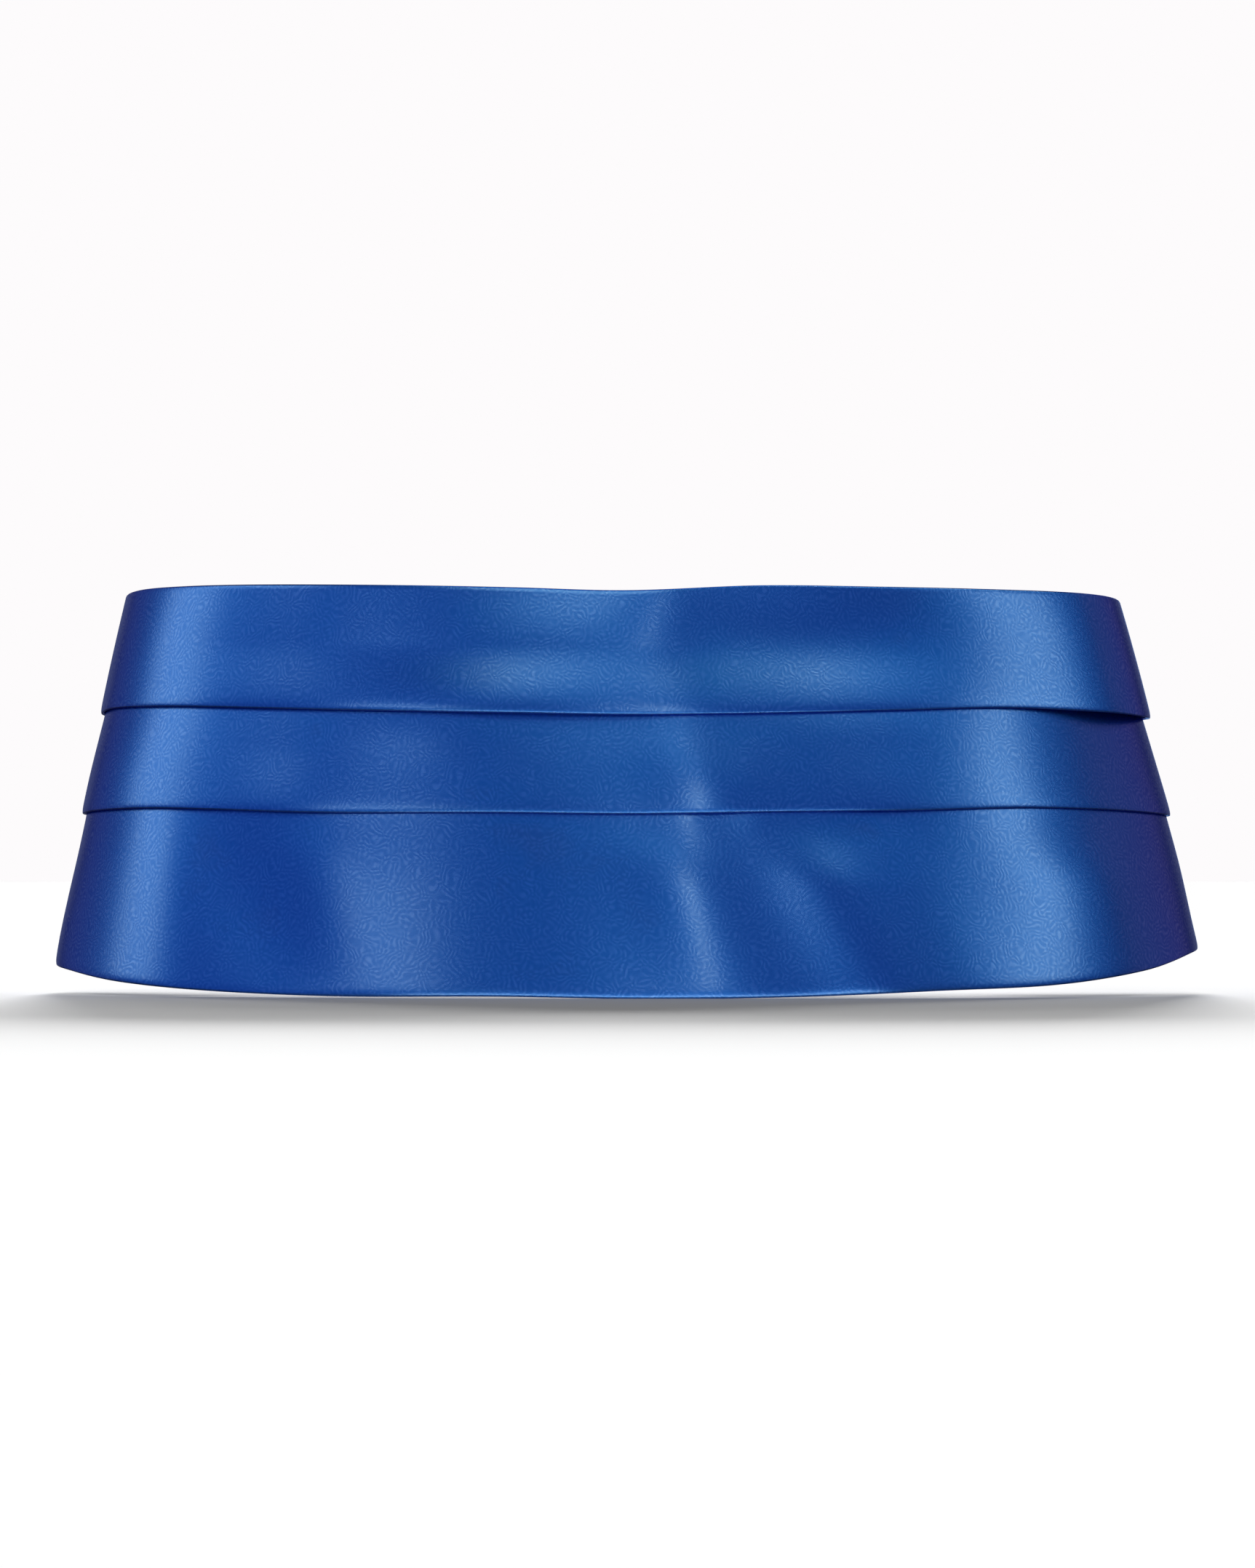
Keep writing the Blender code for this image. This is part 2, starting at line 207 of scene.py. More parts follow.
def rest(tier, turn, height):
    """Where a tier's outer face lies from the figure, before its edge lifts. It takes its own
    folds, less what would bring it through the tier above: all of that behind the fold above, and
    none of it a little below. Behind that tier it also lies one step further in."""
    if tier == "upper":
        return folds(tier, turn, height)
    fold = edge(FOLD_ABOVE[tier], turn)
    lower = edge(LOWER_EDGE[tier], turn)
    inside = 1 - np.clip((fold - height) / (fold - lower), 0, 1)
    own = folds(tier, turn, height)
    above = TIERS[TIERS.index(tier) - 1]
    proud = own - rest(above, turn, height) - lift(above, turn, height)
    proud = (proud + np.hypot(proud, CLOSENESS)) / 2
    held = 1 - ease((fold - height) / SETTLE)
    return own - held * proud - STEP * inside - groove(tier, turn, height)


def roll(height, out, radius, start, end):
    """Rows of a rolled edge: an arc round a centre line, as heights and distances out. The angles
    are in degrees, 0 outwards and 90 up."""
    angles = np.radians(np.linspace(start, end, ROLL_ROWS))
    return ([height + radius * math.sin(a) for a in angles],
            [np.full(height.shape, out + radius * math.cos(a)) for a in angles])


def run(start, end, out, steps, closer=1.0):
    """Rows of flat cloth between two heights, at one distance out. A power above 1 brings the
    last rows closer together."""
    shares = 1 - (1 - np.linspace(0, 1, steps + 2)[1:-1]) ** closer
    return [start + (end - start) * s for s in shares], [np.full(start.shape, out) for _ in shares]


def curl(up):
    """How far a folded edge curls in, at a height above it."""
    return CURL * np.exp(-np.maximum(up, 0) / CURL_HEIGHT)


def cloth_rows(*parts):
    """Joins runs and rolls into two grids: heights and distances out."""
    return (np.array([row for heights, _ in parts for row in heights]),
            np.array([row for _, outs in parts for row in outs]))


def tuck_top(tier, turn):
    """Height of the hidden fold behind a tier's lower edge."""
    fold = edge(LOWER_EDGE[tier], turn)
    return np.minimum(fold + TUCK, edge("top", turn) - WALL) - ROLL


def around(turn):
    """Distance round the waist from the centre front, summed along the strap's level."""
    fine = np.linspace(-180, 180, 1441)
    steps = np.linalg.norm(np.diff(figure(fine, np.zeros(fine.shape)), axis=0), axis=1)
    total = np.concatenate(([0], np.cumsum(steps)))
    return np.interp(turn, fine, total - total[len(fine) // 2])


def make_object(name, data):
    made = bpy.data.objects.new(name, data)
    bpy.context.scene.collection.objects.link(made)
    return made


def cloth(name, points, materials, thickness, turn=None):
    """A cloth wall from a grid of points whose first row is its top. Its UV map holds metres along
    the cloth and down it, and Solidify gives it its thickness, half on each side. The first
    material is its right side and the second its wrong side."""
    rows, columns = points.shape[:2]
    index = np.arange(rows * columns).reshape(rows, columns)
    faces = np.stack((index[:-1, :-1], index[1:, :-1], index[1:, 1:], index[:-1, 1:]), axis=-1)
    faces = faces.reshape(-1, 4)
    mesh = bpy.data.meshes.new(name)
    mesh.from_pydata(points.reshape(-1, 3), [], faces)
    if turn is None:
        steps = np.linalg.norm(np.diff(points, axis=1), axis=-1)
        sideways = np.concatenate((np.zeros((rows, 1)), np.cumsum(steps, axis=1)), axis=1)
    else:
        sideways = np.broadcast_to(around(turn), (rows, columns))
    steps = np.linalg.norm(np.diff(points, axis=0), axis=-1)
    down = np.concatenate((np.zeros((1, columns)), np.cumsum(steps, axis=0)))
    uv = np.stack((sideways, -down), axis=-1).reshape(-1, 2)[faces.ravel()]
    mesh.uv_layers.new(name="cloth").data.foreach_set("uv", uv.ravel())
    mesh.shade_smooth()
    for material in materials:
        mesh.materials.append(material)
    wall = make_object(name, mesh)
    solidify = wall.modifiers.new("thickness", "SOLIDIFY")
    solidify.thickness = thickness
    solidify.offset = 0
    solidify.material_offset = len(materials) - 1
    return wall


def linear(colour):
    """A hex sRGB colour as linear red, green, blue and alpha."""
    values = [int(colour[i:i + 2], 16) / 255 for i in (1, 3, 5)]
    return [v / 12.92 if v <= 0.04045 else ((v + 0.055) / 1.055) ** 2.4 for v in values] + [1.0]


def add(tree, kind, settings=None, **links):
    """Adds a node. Settings are its properties, and links are its inputs, by name with _ for a
    space or by number after an i: a plain value, or a socket to join."""
    made = tree.nodes.new(kind)
    for key, value in (settings or {}).items():
        setattr(made, key, value)
    for key, value in links.items():
        numbered = key[0] == "i" and key[1:].isdigit()
        socket = made.inputs[int(key[1:]) if numbered else key.replace("_", " ")]
        if isinstance(value, bpy.types.NodeSocket):
            tree.links.new(value, socket)
        else:
            socket.default_value = value
    return made


def new_material(name):
    material = bpy.data.materials.new(name)
    material.use_nodes = True
    material.node_tree.nodes.clear()
    return material, material.node_tree


def satin_material():
    """Polyester satin, warp-faced and calendered. Its long floats send light back in a broad,
    tinted sheen, and the embossing rollers leave a faint relief of short curved strokes."""
    material, tree = new_material("royal_blue_satin")
    cloth_map = add(tree, "ShaderNodeUVMap", {"uv_map": "cloth"}).outputs["UV"]
    # Waves 1.5 mm apart run every way in patches 5.5 mm wide, and cross where the patches meet.
    # Their crests were pressed hardest and so are the glossiest.
    bend = add(tree, "ShaderNodeTexNoise", {"noise_dimensions": "2D"}, Vector=cloth_map,
               Scale=1 / (4 * MM), Detail=0.0).outputs["Color"]
    bend = add(tree, "ShaderNodeVectorMath", {"operation": "MULTIPLY_ADD"}, i0=bend,
               i1=(3.0 * MM, 3.0 * MM, 0.0), i2=cloth_map).outputs[0]
    waves = add(tree, "ShaderNodeTexGabor", {"gabor_type": "2D"}, Vector=bend,
                Scale=1 / (5.5 * MM), Frequency=3.6, Anisotropy=0.0).outputs["Value"]
    strokes = add(tree, "ShaderNodeMapRange", {"interpolation_type": "SMOOTHSTEP"}, Value=waves,
                  From_Min=0.37, From_Max=0.77).outputs[0]
    bump = add(tree, "ShaderNodeBump", Strength=1.0, Distance=0.009 * MM, Height=strokes).outputs[0]
    coat = add(tree, "ShaderNodeMapRange", Value=strokes, To_Min=0.34, To_Max=0.7).outputs[0]
    # The crests are also drawn a lighter blue: a painted highlight along the strokes, beside their
    # real gloss from the coat.
    colour = add(tree, "ShaderNodeMix", {"data_type": "RGBA"}, i0=strokes, i6=linear("#0A68D8"),
                 i7=linear("#0B70E8")).outputs[2]
    shader = add(tree, "ShaderNodeBsdfPrincipled", Base_Color=colour, Metallic=1.0,
                 Roughness=0.33, Specular_Tint=linear("#4070D0"), Coat_Weight=coat,
                 Coat_Roughness=0.24, Coat_IOR=2.3, Normal=bump, Coat_Normal=bump)
    add(tree, "ShaderNodeOutputMaterial", Surface=shader.outputs["BSDF"])
    return material


def satin_back_material():
    """The wrong side of the satin. The weft shows there, a close dull twill with no float to
    shine, so it is a soft matt blue."""
    material, tree = new_material("satin_wrong_side")
    cloth_map = add(tree, "ShaderNodeUVMap", {"uv_map": "cloth"}).outputs["UV"]
    # Twill lines are 0.6 mm apart here. The real ones are half that, and wouldn't show.
    turned = add(tree, "ShaderNodeMapping", Vector=cloth_map,
                 Rotation=(0, 0, math.radians(45)), Scale=(1 / (0.6 * MM),) * 3).outputs[0]
    lines = add(tree, "ShaderNodeTexWave", {"wave_profile": "SIN"}, Vector=turned, Scale=0.32,
                Distortion=0.6, Detail=1.0).outputs["Fac"]
    bump = add(tree, "ShaderNodeBump", Strength=0.5, Distance=0.05 * MM, Height=lines).outputs[0]
    colour = add(tree, "ShaderNodeMix", {"data_type": "RGBA"}, i0=lines, i6=linear("#173E86"),
                 i7=linear("#1E4C9C")).outputs[2]
    shader = add(tree, "ShaderNodeBsdfPrincipled", Base_Color=colour, Roughness=0.6,
                 Sheen_Weight=0.3, Sheen_Roughness=0.5, Normal=bump)
    add(tree, "ShaderNodeOutputMaterial", Surface=shader.outputs["BSDF"])
    return material


def thread_material():
    """Polyester sewing thread, three plies twisted and dyed to match. It is duller than satin."""
    material, tree = new_material("sewing_thread")
    place = add(tree, "ShaderNodeTexCoord").outputs["Object"]
    # Plies are 0.15 mm thick. They are drawn at twice that, so that they show.
    plies = add(tree, "ShaderNodeTexNoise", Vector=place, Scale=1 / (0.3 * MM),
                Detail=1.0).outputs["Fac"]
    bump = add(tree, "ShaderNodeBump", Strength=0.5, Distance=0.05 * MM, Height=plies).outputs[0]
    colour = add(tree, "ShaderNodeMix", {"data_type": "RGBA"}, i0=plies, i6=linear("#123F9A"),
                 i7=linear("#2A62C6")).outputs[2]
    shader = add(tree, "ShaderNodeBsdfPrincipled", Base_Color=colour, Roughness=0.5, Normal=bump)
    add(tree, "ShaderNodeOutputMaterial", Surface=shader.outputs["BSDF"])
    return material


THREAD = 0.35 * MM
THREAD_SIDES = 6
THREAD_RINGS = 5


def stitches(name, starts, ends, outs, material):
    """Stitches from each start to each end. Each is a tube closed at both ends, whose height over
    the cloth goes with the sine of pi times the share along it, less the part that sinks in."""
    ahead = (ends - starts) / np.linalg.norm(ends - starts, axis=1, keepdims=True)
    outs = outs / np.linalg.norm(outs, axis=1, keepdims=True)
    across = np.cross(ahead, outs)
    shares = np.linspace(0, 1, THREAD_RINGS)[:, None]
    height = THREAD * (0.8 * np.sin(math.pi * shares) - 0.4)
    middles = starts[:, None] + (ends - starts)[:, None] * shares + outs[:, None] * height
    angles = np.radians(np.arange(THREAD_SIDES) * 360 / THREAD_SIDES)[:, None]
    ring = across[:, None] * np.cos(angles) + outs[:, None] * np.sin(angles)
    points = middles[:, :, None] + ring[:, None] * THREAD / 2
    count = THREAD_RINGS * THREAD_SIDES
    index = np.arange(count).reshape(THREAD_RINGS, THREAD_SIDES)
    after = np.roll(index, -1, axis=1)
    walls = np.stack((index[:-1], index[1:], after[1:], after[:-1]), axis=-1).reshape(-1, 4)
    one = walls.tolist() + [index[0].tolist(), index[-1, ::-1].tolist()]
    faces = [[n * count + corner for corner in face] for n in range(len(starts)) for face in one]
    mesh = bpy.data.meshes.new(name)
    mesh.from_pydata(points.reshape(-1, 3), [], faces)
    mesh.shade_smooth()
    mesh.materials.append(material)
    piece = make_object(name, mesh)
    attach(piece, "root")
    return piece


satin = satin_material()
satin_back = satin_back_material()
thread = thread_material()
turns = np.linspace(-END_TURN, END_TURN, COLUMNS + 1)
FACE = -SATIN / 2            # middle of the satin in a tier's outer layer
BACK = FACE - 2 * ROLL       # and in its inner layer


def tier_grid(tier):
    """Grid of a tier's satin from its first hidden row to its last: the turned-in or tucked top,
    the face, the rolled lower edge and the return behind it."""
    low = edge(LOWER_EDGE[tier], turns) + ROLL
    if tier == "upper":
        high = edge("top", turns) - ROLL
        start = cloth_rows(run(high - FACING, high, BACK, FACING_ROWS),
                           roll(high, -WALL / 2, ROLL, 180, 0))
    else:
        high = tuck_top(TIERS[TIERS.index(tier) - 1], turns)
        above = BACK + STEP
        start = cloth_rows(roll(high, (FACE + above) / 2, (above - FACE) / 2, 0, 180))
    face = cloth_rows(run(high, low, FACE, FACE_ROWS, FACE_POWER))
    face[1][:] -= curl(face[0] - low)
    back_top = low + FACING if tier == "lower" else tuck_top(tier, turns)
    end = cloth_rows(roll(low, -WALL / 2 - CURL, ROLL, -25, -180),
                     run(low, back_top, BACK, RETURN_ROWS))
    heights = np.concatenate((start[0], face[0], end[0]))
    outs = np.concatenate((start[1], face[1], end[1]))
    turn = np.broadcast_to(turns, heights.shape)
    return figure(turn, heights, rest(tier, turn, heights) + lift(tier, turn, heights) + outs)


def make_tier(tier):
    piece = cloth("satin_" + tier, tier_grid(tier), (satin, satin_back), SATIN, turns)
    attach(piece, "root")
    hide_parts("pleat_" + tier)
    return piece


SLIP_TURN = 3.0          # degrees from one slip stitch to the next
SLIP_SLANT = 0.75        # degrees that each one leans
SLIP_REACH = 0.7 * MM    # above and below the line that they follow
SLIP_FREE = 8.0          # degrees left free at each end of the panel


def facing_stitches(name, tier, edge_name, above_edge):
    """Slip stitches along a facing, on the wrong side, at a height above one of a tier's edges."""
    turn = np.arange(-END_TURN + SLIP_FREE, END_TURN - SLIP_FREE, SLIP_TURN)
    level = edge(edge_name, turn) + above_edge
    inside = BACK - SATIN / 2

    def place(turn, level, out):
        return figure(turn, level, rest(tier, turn, level) + lift(tier, turn, level) + out)

    starts = place(turn, level - SLIP_REACH, inside)
    ends = place(turn + SLIP_SLANT, level + SLIP_REACH, inside)
    outs = starts - place(turn, level - SLIP_REACH, inside + MM)
    return stitches(name, starts, ends, outs, thread)


upper = make_tier("upper")
top_stitches = facing_stitches("top_facing_stitches", "upper", "top", 0.8 * MM - FACING)

# ---------------------------------------------------------------------------------------------
# Middle tier: the satin goes up behind the upper tier's fold and comes down again as this tier. The
# pleat is held only by the seams at the ends, so the cloth below it finds its own folds.
# ---------------------------------------------------------------------------------------------

FOLDS["middle"] = (
    (-70, 2, 9, 18, 0.0, 1.2),
    (-22, 14, 6, 8, 0.0, 0.5),
    (8, -4, 4, 20, -0.3, 1.8),
    (67, 18, 9, 9, 0.0, 0.8),
) + SIDE_FOLDS
GROOVES["middle"] = (0.05, ((-1, 9, 0.5), (64, 6, 0.4)))
LIFTS["middle"] = ((-37, 6, 0.6), (-6, 9, 0.3), (27, 5, 0.5), (72, 8, 0.3))
middle = make_tier("middle")

# ---------------------------------------------------------------------------------------------
# Lower tier: the last and deepest stretch of the satin, down from the pleat behind the middle
# tier's fold. Its hem is turned in and slip-stitched, and dips at the front.
# ---------------------------------------------------------------------------------------------

FOLDS["lower"] = (
    (-42, -50, 5, 25, 0.0, -0.9),
    (-40, -42, 5.5, 34, -2.6, -1.6),
    (6, -36, 4, 32, -0.9, 1.9),
    (20.5, -44, 3.5, 34, -1.35, 1.4),
    (27, -50, 7, 26, -1.35, 1.4),
    (55, -36, 9, 24, 0.0, 1.6),
    (-86, -54, 7, 14, 0.0, 1.0),
    (88, -52, 6, 14, 0.5, -0.9),
) + SIDE_FOLDS
GROOVES["lower"] = (0.05, ((-35, 5, 0.3), (3, 7, 0.6), (27, 4, 0.4), (61, 7, 0.3)))
LIFTS["lower"] = ()
lower = make_tier("lower")
hem_stitches = facing_stitches("hem_facing_stitches", "lower", "hem", FACING - 0.4 * MM)

# ---------------------------------------------------------------------------------------------
# End tabs: a folded piece of the same satin closes each tapered end of the panel. It goes round
# the ends of the tiers and is topstitched through all of them, close to its edges.
# ---------------------------------------------------------------------------------------------

GAP = STEP - WALL
STACK = 2 * STEP + WALL      # thickest stack of tiers
END_CLEAR = 1.0 * MM         # from the tiers' ends to the tab's fold
TAB_LENGTH = 15 * MM
TAB_OVERHANG = 0.5 * MM      # beyond the panel's top edge and hem
TAB_SEAM = 2.2 * MM          # from the tab's edge to its stitches
TAB_END_SEAM = 1.4 * MM      # from its fold to a second row of them
SEAM_DIP = 0.3 * MM          # the thread pulls the cloth in along a seam
SEAM_REACH = 0.9 * MM
TAB_COLUMNS = 34             # across each side of a tab
TAB_ROWS = 44


def tab_columns():
    """A tab's section as distances along the waist and outwards: out over the tiers' ends, round
    a half circle and back inside, with a dip along each seam."""
    outer, inner = GAP + WALL / 2, -STACK - GAP - WALL / 2
    bend = (outer - inner) / 2
    angles = np.radians(np.linspace(90, -90, 15))
    flat = np.linspace(-TAB_LENGTH, -0.4 * MM, TAB_COLUMNS)
    dip = SEAM_DIP * np.exp(-((flat + TAB_LENGTH - TAB_SEAM) / SEAM_REACH) ** 2 / 2)
    along = np.concatenate((flat, bend * np.cos(angles), flat[::-1]))
    out = np.concatenate((outer - dip, inner + bend + bend * np.sin(angles), (inner + dip)[::-1]))
    return along, out


def tab_place(side, along, out, share):
    """Points of a tab from its section and from the share of its height, 0 at the top."""
    metres_per_degree = np.linalg.norm(figure(END_TURN + 1, 0.0) - figure(END_TURN, 0.0))
    turn = END_TURN + (along + END_CLEAR) / metres_per_degree
    signed = side * np.minimum(turn, END_TURN)
    top = edge("top", signed) + TAB_OVERHANG
    hem = edge("hem", signed) - TAB_OVERHANG
    return figure(side * turn, top + (hem - top) * share, out)


def tab_grid(side):
    along, out = tab_columns()
    shares = np.linspace(0, 1, TAB_ROWS)[:, None]
    points = tab_place(side, along, out, shares)
    return points if side > 0 else points[:, ::-1]


def soften(piece, width):
    """Rounds the sharp edges of a piece."""
    bevel = piece.modifiers.new("soft_edges", "BEVEL")
    bevel.width = width
    bevel.segments = 2
    bevel.limit_method = "ANGLE"
    bevel.angle_limit = math.radians(50)


tabs = {}
for name, side in (("left", -1), ("right", 1)):
    tabs[name] = cloth("tab_" + name, tab_grid(side), (satin,), WALL)
    soften(tabs[name], 0.28 * MM)
    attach(tabs[name], "root")
    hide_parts("end_tab_" + name)

STITCH = 2.3 * MM
STITCH_GAP = 0.5 * MM


def tab_stitches(side, along, out, way):
    """A row of stitches down a tab, at a distance along the waist and outwards. The way is 1 for
    its outside and -1 for its inside."""
    shares = np.linspace(0, 1, 400)
    line = tab_place(side, along, out, shares)
    length = np.concatenate(([0], np.cumsum(np.linalg.norm(np.diff(line, axis=0), axis=1))))
    starts = np.arange(1.6 * MM, length[-1] - STITCH - 1.2 * MM, STITCH + STITCH_GAP)
    first, last = np.interp(starts, length, shares), np.interp(starts + STITCH, length, shares)
    ends = tab_place(side, along, out, last)
    begins = tab_place(side, along, out, first)
    return begins, ends, way * (tab_place(side, along, out + MM, first) - begins)


tab_outer, tab_inner = GAP + WALL, -STACK - GAP - WALL
seam = -TAB_LENGTH + TAB_SEAM
for name, side in (("left", -1), ("right", 1)):
    rows = [tab_stitches(side, seam, tab_outer - SEAM_DIP, 1),
            tab_stitches(side, seam, tab_inner + SEAM_DIP, -1),
            tab_stitches(side, -TAB_END_SEAM, tab_outer, 1),
            tab_stitches(side, -TAB_END_SEAM, tab_inner, -1)]
    tabs[name + "_seams"] = stitches("tab_stitches_" + name,
                                     *(np.concatenate(part) for part in zip(*rows)), thread)

# ---------------------------------------------------------------------------------------------
# Straps: flat woven elastic, 25 mm wide, sewn inside the tabs. The left one ends in a sewn loop
# on the hook. The right one runs through the slide and the hook and comes back to the slide.
# ---------------------------------------------------------------------------------------------

STRAP_WIDTH = 25 * MM
STRAP_WALL = 1.0 * MM
STRAP_LAP = 12 * MM              # the length that goes inside a tab
STRAP_INSET = STACK + GAP + WALL + GAP + STRAP_WALL / 2
METAL = 1.5 * MM
BAR = 2.5 * MM
SLOT = 4.0 * MM
HOOK_PLATE = 5 * MM
SLIDE_DISTANCE = -58 * MM        # the slide's place from the centre back
LOOP = METAL / 2 + GAP + STRAP_WALL / 2
LAYER = STRAP_WALL + GAP
HOOK_OUT = -LAYER / 2
SLIDE_OUT = STRAP_WALL / 2 + GAP + METAL / 2
HOOK_BAR = HOOK_PLATE / 2 + SLOT + BAR / 2
SEWN_BACK = 16 * MM              # the loop's end, from the bar that it goes round
LEVEL_FROM_BAR = 9 * MM          # where the strap comes off the hook and lies flat again
LOOP_SEAMS = np.array((2.0, 6.0)) * MM    # rows of stitches, from the end of a lap or a loop

# The strap's line round the back, by distance from the centre back towards the left.
back_turns = np.linspace(110, 250, 1401)
back_line = figure(back_turns, np.zeros(back_turns.shape), -STRAP_INSET)
back_lengths = np.concatenate(([0], np.cumsum(np.linalg.norm(np.diff(back_line, axis=0), axis=1))))
back_distances = back_lengths - np.interp(180, back_turns, back_lengths)


def strap_axes(distance):
    """Points on the strap's line, with the directions along it, up it and out of it."""
    turn = np.interp(distance, back_distances, back_turns)
    level = np.zeros(np.shape(turn))
    along = figure(turn + 0.1, level) - figure(turn - 0.1, level)
    up = figure(turn, level + MM) - figure(turn, level - MM)
    along = along / np.linalg.norm(along, axis=-1, keepdims=True)
    out = np.cross(along, up)
    out = out / np.linalg.norm(out, axis=-1, keepdims=True)
    return figure(turn, level, -STRAP_INSET), along, np.cross(out, along), out


def around_bar(bar, way, out, start, end):
    """A turn round a bar, as rows of distance and out: half a circle past its far edge."""
    angles = np.radians(np.linspace(start, end, 17))
    return [(bar + way * (BAR / 2 + LOOP * math.cos(a)), out + LOOP * math.sin(a)) for a in angles]


def hook_turn(bar, way):
    """Over a bar of the hook, round it and back underneath."""
    flat, near = bar - way * LEVEL_FROM_BAR, bar - way * 3 * MM
    return ([(flat - way * 5 * MM, 0.0), (flat, 0.0), (near, HOOK_OUT + LOOP)]
            + around_bar(bar, way, HOOK_OUT, 90, -90)
            + [(near, HOOK_OUT - LOOP), (flat, -LAYER)])


def slide_arch():
    """Under a side bar of the slide, over its middle bar and under the other side bar."""
    top = SLIDE_OUT + LOOP + LAYER
    offsets = np.linspace(-SLOT - BAR / 2, SLOT + BAR / 2, 21)
    share = ease(1 - (np.abs(offsets) - BAR / 2) / (SLOT - GAP))
    return [(SLIDE_DISTANCE + offset, top * part) for offset, part in zip(offsets, share)]


def strap_path(side):
    """Rows of distance and out along a whole strap, from its lap inside a tab to its end."""
    tab = END_TURN if side > 0 else 360 - END_TURN
    start = np.interp(tab, back_turns, back_distances) - side * STRAP_LAP
    if side < 0:
        run = np.linspace(start, HOOK_BAR + 20 * MM, 30)
        return [(d, 0.0) for d in run] + hook_turn(HOOK_BAR, -1) + [(HOOK_BAR + SEWN_BACK, -LAYER)]
    before = np.linspace(start, SLIDE_DISTANCE - SLOT - 3 * BAR, 24)
    between = np.linspace(SLIDE_DISTANCE + SLOT + 3 * BAR, -HOOK_BAR - 20 * MM, 8)
    back = [(SLIDE_DISTANCE + SLOT + BAR, -LAYER), (SLIDE_DISTANCE + SLOT, -LAYER)]
    end = around_bar(SLIDE_DISTANCE + BAR / 4, -1, SLIDE_OUT, -90, 90)
    return ([(d, 0.0) for d in before] + slide_arch() + [(d, 0.0) for d in between]
            + hook_turn(-HOOK_BAR, 1) + [(d, -LAYER) for d in between[::-1]] + back + end
            + [(SLIDE_DISTANCE + BAR / 2, SLIDE_OUT + LOOP)])


def swept(name, middles, ups, normals, section, material):
    """A closed section of (up, out) rows carried along a path and capped at both ends. Its UV map
    holds metres along the path and round the section."""
    section = np.array(section)
    count, sides = len(middles), len(section)
    points = (middles[:, None] + ups[:, None] * section[None, :, :1]
              + normals[:, None] * section[None, :, 1:])
    index = np.arange(count * sides).reshape(count, sides)
    after = np.roll(index, -1, axis=1)
    walls = np.stack((index[:-1], after[:-1], after[1:], index[1:]), axis=-1).reshape(-1, 4)
    faces = walls.tolist() + [index[0, ::-1].tolist(), index[-1].tolist()]
    mesh = bpy.data.meshes.new(name)
    mesh.from_pydata(points.reshape(-1, 3), [], faces)
    steps = np.linalg.norm(np.diff(middles, axis=0), axis=1)
    along = np.repeat(np.concatenate(([0], np.cumsum(steps))), sides)
    across = np.tile(section[:, 0], count)
    uv = np.stack((along, across), axis=-1)[np.concatenate([np.ravel(face) for face in faces])]
    mesh.uv_layers.new(name="cloth").data.foreach_set("uv", uv.ravel())
    mesh.shade_smooth()
    mesh.materials.append(material)
    return make_object(name, mesh)


def flat_section(width, thickness, corner):
    """Rows of a flat section with rounded corners."""
    rows = []
    for quarter, (su, sv) in enumerate(((1, 1), (-1, 1), (-1, -1), (1, -1))):
        for a in np.radians(np.linspace(0, 90, 4) + 90 * quarter):
            rows.append((su * (width / 2 - corner) + corner * math.cos(a),
                         sv * (thickness / 2 - corner) + corner * math.sin(a)))
        if quarter in (0, 2):
            rows += [(su * share * (width / 2 - corner), sv * thickness / 2)
                     for share in np.linspace(1, -1, 12)[1:-1]]
    return rows


def strap_line(side):
    """Middle, up and out of a strap at points 0.6 mm apart along its path."""
    path = np.array(strap_path(side))
    length = np.concatenate(([0], np.cumsum(np.linalg.norm(np.diff(path, axis=0), axis=1))))
    fine = curve_through(length, path, np.linspace(0, length[-1], int(length[-1] / (0.6 * MM))))
    point, _, up, out = strap_axes(fine[:, 0])
    middle = point + out * fine[:, 1:]
    ahead = np.gradient(middle, axis=0)
    normal = np.cross(ahead, up)
    return middle, up, normal / np.linalg.norm(normal, axis=1, keepdims=True)


def elastic_material():
    """Woven elastic: rubber threads under polyester yarn. The yarn is drawn into ribs along the
    strap with fine rows across them, dull and slightly fuzzy."""
    material, tree = new_material("woven_elastic")
    cloth_map = add(tree, "ShaderNodeUVMap", {"uv_map": "cloth"}).outputs["UV"]
    along, across, _ = add(tree, "ShaderNodeSeparateXYZ", Vector=cloth_map).outputs
    # Ribs are 1.25 mm apart, so 20 across the strap, and rows 0.9 mm apart.
    ribs = add(tree, "ShaderNodeMath", {"operation": "MULTIPLY"}, i0=across,
               i1=2 * math.pi / (1.25 * MM)).outputs[0]
    ribs = add(tree, "ShaderNodeMath", {"operation": "COSINE"}, i0=ribs).outputs[0]
    shift = add(tree, "ShaderNodeMath", {"operation": "MULTIPLY"}, i0=ribs, i1=0.9).outputs[0]
    rows = add(tree, "ShaderNodeMath", {"operation": "MULTIPLY_ADD"}, i0=along,
               i1=2 * math.pi / (0.9 * MM), i2=shift).outputs[0]
    rows = add(tree, "ShaderNodeMath", {"operation": "SINE"}, i0=rows).outputs[0]
    relief = add(tree, "ShaderNodeMath", {"operation": "MULTIPLY_ADD"}, i0=rows, i1=0.45,
                 i2=ribs).outputs[0]
    bump = add(tree, "ShaderNodeBump", Strength=0.8, Distance=0.08 * MM, Height=relief).outputs[0]
    # The colour follows the relief: darker in the grooves between ribs and rows and lighter on
    # their tops, painted shade and highlight.
    painted_rib_shade = add(tree, "ShaderNodeMapRange", Value=relief, From_Min=-1.4, From_Max=1.4).outputs[0]
    colour = add(tree, "ShaderNodeMix", {"data_type": "RGBA"}, i0=painted_rib_shade, i6=linear("#0C2355"),
                 i7=linear("#1D469A")).outputs[2]
    shader = add(tree, "ShaderNodeBsdfPrincipled", Base_Color=colour, Roughness=0.62,
                 Sheen_Weight=0.35, Sheen_Roughness=0.4, Normal=bump)
    add(tree, "ShaderNodeOutputMaterial", Surface=shader.outputs["BSDF"])
    return material


